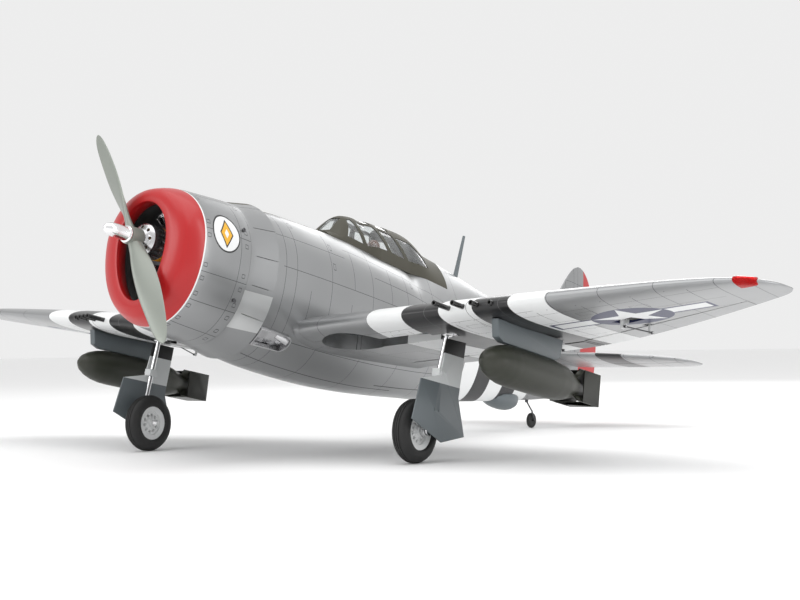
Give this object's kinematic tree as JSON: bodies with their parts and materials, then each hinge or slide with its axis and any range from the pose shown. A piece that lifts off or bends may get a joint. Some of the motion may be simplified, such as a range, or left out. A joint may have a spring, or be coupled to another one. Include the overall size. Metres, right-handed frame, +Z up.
{
  "type": "radio-controlled warbird plane",
  "caption": "Radio-controlled model of a stout radial-engined fighter in bare-metal finish, with working propeller, retracting gear, ailerons, flaps, elevator, rudder and lift-off canopy hatch.",
  "frame": {"origin": "middle of the bounding box's bottom face, on the ground under the model", "axes": "+X to the model's left wing, -Y to its nose, +Z up; it stands on three wheels with its nose raised 10.7 degrees"},
  "size_m": [1.69, 1.5039, 0.5089],
  "materials": {
    "fuselage_shell": "satin",
    "engine_cowl": "satin",
    "cowl_flaps": "satin",
    "firewall": "bare",
    "motor_mount": "anodised",
    "motor_stator": "wound",
    "dummy_crankcase": "satin",
    "dummy_cylinders": "polished",
    "battery_pack": "shrink wrap",
    "speed_controller": "satin",
    "equipment_tray": "bare",
    "receiver": "satin",
    "tail_servos": "satin",
    "fin": "satin",
    "tailplane": "satin",
    "antenna_mast": "satin",
    "turbo_fairing": "satin",
    "exhaust_outlets": "satin",
    "wing_left": "satin",
    "wing_right": "satin",
    "wing_tube": "anodised",
    "gun_barrels": "satin",
    "nav_light_left": "clear",
    "nav_light_right": "clear",
    "pylons": "satin",
    "bombs": "satin",
    "wing_servos": "satin",
    "retract_frames": "satin",
    "fasteners": "zinc",
    "canopy_frame": "matt olive",
    "canopy_glazing": "clear",
    "cockpit_tub": "matt",
    "pilot_figure": "painted",
    "propeller": "satin",
    "spinner_nut": "polished",
    "motor_bell": "polished",
    "aileron_left": "satin",
    "aileron_right": "satin",
    "flap_left": "satin",
    "flap_right": "satin",
    "elevators": "satin",
    "rudder": "satin",
    "strut_left": "polished",
    "strut_right": "polished",
    "gear_door_left": "satin",
    "gear_door_right": "satin",
    "hub_left": "white",
    "hub_right": "white",
    "tyre_left": "moulded rubber",
    "tyre_right": "moulded rubber",
    "tail_strut": "zinc",
    "tail_wheel": "satin",
    "aileron_arm_left": "white",
    "aileron_arm_right": "white",
    "aileron_rod_left": "zinc",
    "aileron_rod_right": "zinc",
    "flap_rod_left": "zinc",
    "flap_rod_right": "zinc",
    "rudder_rod": "zinc",
    "elevator_rod": "zinc"
  },
  "bodies": {
    "airframe": {"fuselage_shell": "fuselage_shell", "engine_cowl": "engine_cowl", "cowl_flaps": "cowl_flaps", "firewall": "firewall", "motor_mount": "motor_mount", "motor_stator": "motor_stator", "dummy_crankcase": "dummy_crankcase", "dummy_cylinders": "dummy_cylinders", "battery_pack": "battery_pack", "speed_controller": "speed_controller", "equipment_tray": "equipment_tray", "receiver": "receiver", "tail_servos": "tail_servos", "fin": "fin", "tailplane": "tailplane", "antenna_mast": "antenna_mast", "turbo_fairing": "turbo_fairing", "exhaust_outlets": "exhaust_outlets", "wing_left": "wing_left", "wing_right": "wing_right", "wing_tube": "wing_tube", "gun_barrels": "gun_barrels", "nav_light_left": "nav_light_left", "nav_light_right": "nav_light_right", "pylons": "pylons", "bombs": "bombs", "wing_servos": "wing_servos", "retract_frames": "retract_frames", "fasteners": "fasteners"},
    "propeller": {"propeller": "propeller", "spinner_nut": "spinner_nut", "motor_bell": "motor_bell"},
    "canopy_hatch": {"canopy_frame": "canopy_frame", "canopy_glazing": "canopy_glazing", "cockpit_tub": "cockpit_tub", "pilot_figure": "pilot_figure"},
    "gear_left": {"strut_left": "strut_left", "gear_door_left": "gear_door_left"},
    "gear_right": {"strut_right": "strut_right", "gear_door_right": "gear_door_right"},
    "wheel_left": {"hub_left": "hub_left", "tyre_left": "tyre_left"},
    "wheel_right": {"hub_right": "hub_right", "tyre_right": "tyre_right"},
    "tail_leg": {"tail_strut": "tail_strut"},
    "tail_wheel": {"tail_wheel": "tail_wheel"},
    "aileron_left": {"aileron_left": "aileron_left"},
    "aileron_right": {"aileron_right": "aileron_right"},
    "flap_left": {"flap_left": "flap_left"},
    "flap_right": {"flap_right": "flap_right"},
    "elevators": {"elevators": "elevators"},
    "rudder": {"rudder": "rudder"},
    "aileron_arm_left": {"aileron_arm_left": "aileron_arm_left"},
    "aileron_arm_right": {"aileron_arm_right": "aileron_arm_right"},
    "aileron_rod_left": {"aileron_rod_left": "aileron_rod_left"},
    "aileron_rod_right": {"aileron_rod_right": "aileron_rod_right"},
    "flap_rod_left": {"flap_rod_left": "flap_rod_left"},
    "flap_rod_right": {"flap_rod_right": "flap_rod_right"},
    "rudder_rod": {"rudder_rod": "rudder_rod"},
    "elevator_rod": {"elevator_rod": "elevator_rod"}
  },
  "joints": [
    {"name": "propeller_spin", "type": "hinge", "parent": "airframe", "child": "propeller", "pos_m": [0, -0.69505, 0.34605], "axis": [0, 0.9826, -0.1857], "continuous": true},
    {"name": "aileron_left_hinge", "type": "hinge", "parent": "airframe", "child": "aileron_left", "pos_m": [0.45598, -0.15233, 0.19354], "axis": [0.9387, -0.317, 0.1357], "range_deg": [-22, 22]},
    {"name": "aileron_right_hinge", "type": "hinge", "parent": "airframe", "child": "aileron_right", "pos_m": [-0.45598, -0.15233, 0.19354], "axis": [0.9387, 0.317, -0.1357], "range_deg": [-22, 22]},
    {"name": "flap_left_hinge", "type": "hinge", "parent": "airframe", "child": "flap_left", "pos_m": [0.112, -0.14457, 0.16243], "axis": [-0.9963, 0.0047, -0.0862], "range_deg": [0, 40]},
    {"name": "flap_right_hinge", "type": "hinge", "parent": "airframe", "child": "flap_right", "pos_m": [-0.112, -0.14457, 0.16243], "axis": [-0.9963, -0.0047, 0.0862], "range_deg": [0, 40]},
    {"name": "elevator_hinge", "type": "hinge", "parent": "airframe", "child": "elevators", "pos_m": [0, 0.55057, 0.14121], "axis": [1, 0, 0], "range_deg": [-20, 20]},
    {"name": "rudder_hinge", "type": "hinge", "parent": "airframe", "child": "rudder", "pos_m": [0, 0.62165, 0.09725], "axis": [0, 0.1857, 0.9826], "range_deg": [-25, 25]},
    {"name": "tail_wheel_steering", "type": "hinge", "parent": "airframe", "child": "tail_leg", "pos_m": [0, 0.43101, 0.04168], "axis": [0, 0.1857, 0.9826], "range_deg": [-25, 25]},
    {"name": "tail_wheel_roll", "type": "hinge", "parent": "tail_leg", "child": "tail_wheel", "pos_m": [0, 0.45247, 0.01626], "axis": [1, 0, 0], "continuous": true},
    {"name": "gear_left_retract", "type": "hinge", "parent": "airframe", "child": "gear_left", "pos_m": [0.315, -0.33614, 0.19885], "axis": [0, 0.9826, -0.1857], "range_deg": [0, 80]},
    {"name": "gear_right_retract", "type": "hinge", "parent": "airframe", "child": "gear_right", "pos_m": [-0.315, -0.33614, 0.19885], "axis": [0, -0.9826, 0.1857], "range_deg": [0, 80]},
    {"name": "wheel_left_roll", "type": "hinge", "parent": "gear_left", "child": "wheel_left", "pos_m": [0.2887, -0.39031, 0.049], "axis": [1, 0, 0], "continuous": true},
    {"name": "wheel_right_roll", "type": "hinge", "parent": "gear_right", "child": "wheel_right", "pos_m": [-0.2887, -0.39031, 0.049], "axis": [1, 0, 0], "continuous": true},
    {"name": "aileron_arm_left_turn", "type": "hinge", "parent": "airframe", "child": "aileron_arm_left", "pos_m": [0.56967, -0.24891, 0.22249], "axis": [0.9387, -0.317, 0.1357], "range_deg": [-22, 22]},
    {"name": "aileron_rod_left_pin", "type": "hinge", "parent": "aileron_arm_left", "child": "aileron_rod_left", "pos_m": [0.57209, -0.25033, 0.20246], "axis": [0.9387, -0.317, 0.1357], "range_deg": [-22, 22]},
    {"name": "flap_rod_left_pin", "type": "hinge", "parent": "flap_left", "child": "flap_rod_left", "pos_m": [0.40861, -0.14676, 0.16779], "axis": [-0.9963, 0.0047, -0.0862], "range_deg": [-40, 0]},
    {"name": "aileron_arm_right_turn", "type": "hinge", "parent": "airframe", "child": "aileron_arm_right", "pos_m": [-0.56967, -0.24891, 0.22249], "axis": [0.9387, 0.317, -0.1357], "range_deg": [-22, 22]},
    {"name": "aileron_rod_right_pin", "type": "hinge", "parent": "aileron_arm_right", "child": "aileron_rod_right", "pos_m": [-0.57209, -0.25033, 0.20246], "axis": [0.9387, 0.317, -0.1357], "range_deg": [-22, 22]},
    {"name": "flap_rod_right_pin", "type": "hinge", "parent": "flap_right", "child": "flap_rod_right", "pos_m": [-0.40861, -0.14676, 0.16779], "axis": [-0.9963, -0.0047, 0.0862], "range_deg": [-40, 0]},
    {"name": "rudder_rod_pin", "type": "hinge", "parent": "rudder", "child": "rudder_rod", "pos_m": [0.02, 0.62497, 0.09866], "axis": [0, 0.1857, 0.9826], "range_deg": [-25, 25]},
    {"name": "elevator_rod_pin", "type": "hinge", "parent": "elevators", "child": "elevator_rod", "pos_m": [-0.03, 0.55018, 0.12297], "axis": [1, 0, 0], "range_deg": [-20, 20]},
    {"name": "hatch_lift", "type": "slide", "parent": "airframe", "child": "canopy_hatch", "axis": [0, 0.1857, 0.9826], "range_m": [0, 0.12]}
  ],
  "couplings": [
    {"joint": "aileron_right_hinge", "follows": "aileron_left_hinge", "ratio": -1},
    {"joint": "flap_right_hinge", "follows": "flap_left_hinge", "ratio": 1},
    {"joint": "tail_wheel_steering", "follows": "rudder_hinge", "ratio": 1},
    {"joint": "gear_right_retract", "follows": "gear_left_retract", "ratio": 1},
    {"joint": "aileron_arm_left_turn", "follows": "aileron_left_hinge", "ratio": 1},
    {"joint": "aileron_rod_left_pin", "follows": "aileron_left_hinge", "ratio": -1},
    {"joint": "flap_rod_left_pin", "follows": "flap_left_hinge", "ratio": -1},
    {"joint": "aileron_arm_right_turn", "follows": "aileron_left_hinge", "ratio": -1},
    {"joint": "aileron_rod_right_pin", "follows": "aileron_left_hinge", "ratio": 1},
    {"joint": "flap_rod_right_pin", "follows": "flap_left_hinge", "ratio": -1},
    {"joint": "rudder_rod_pin", "follows": "rudder_hinge", "ratio": -1},
    {"joint": "elevator_rod_pin", "follows": "elevator_hinge", "ratio": -1}
  ]
}
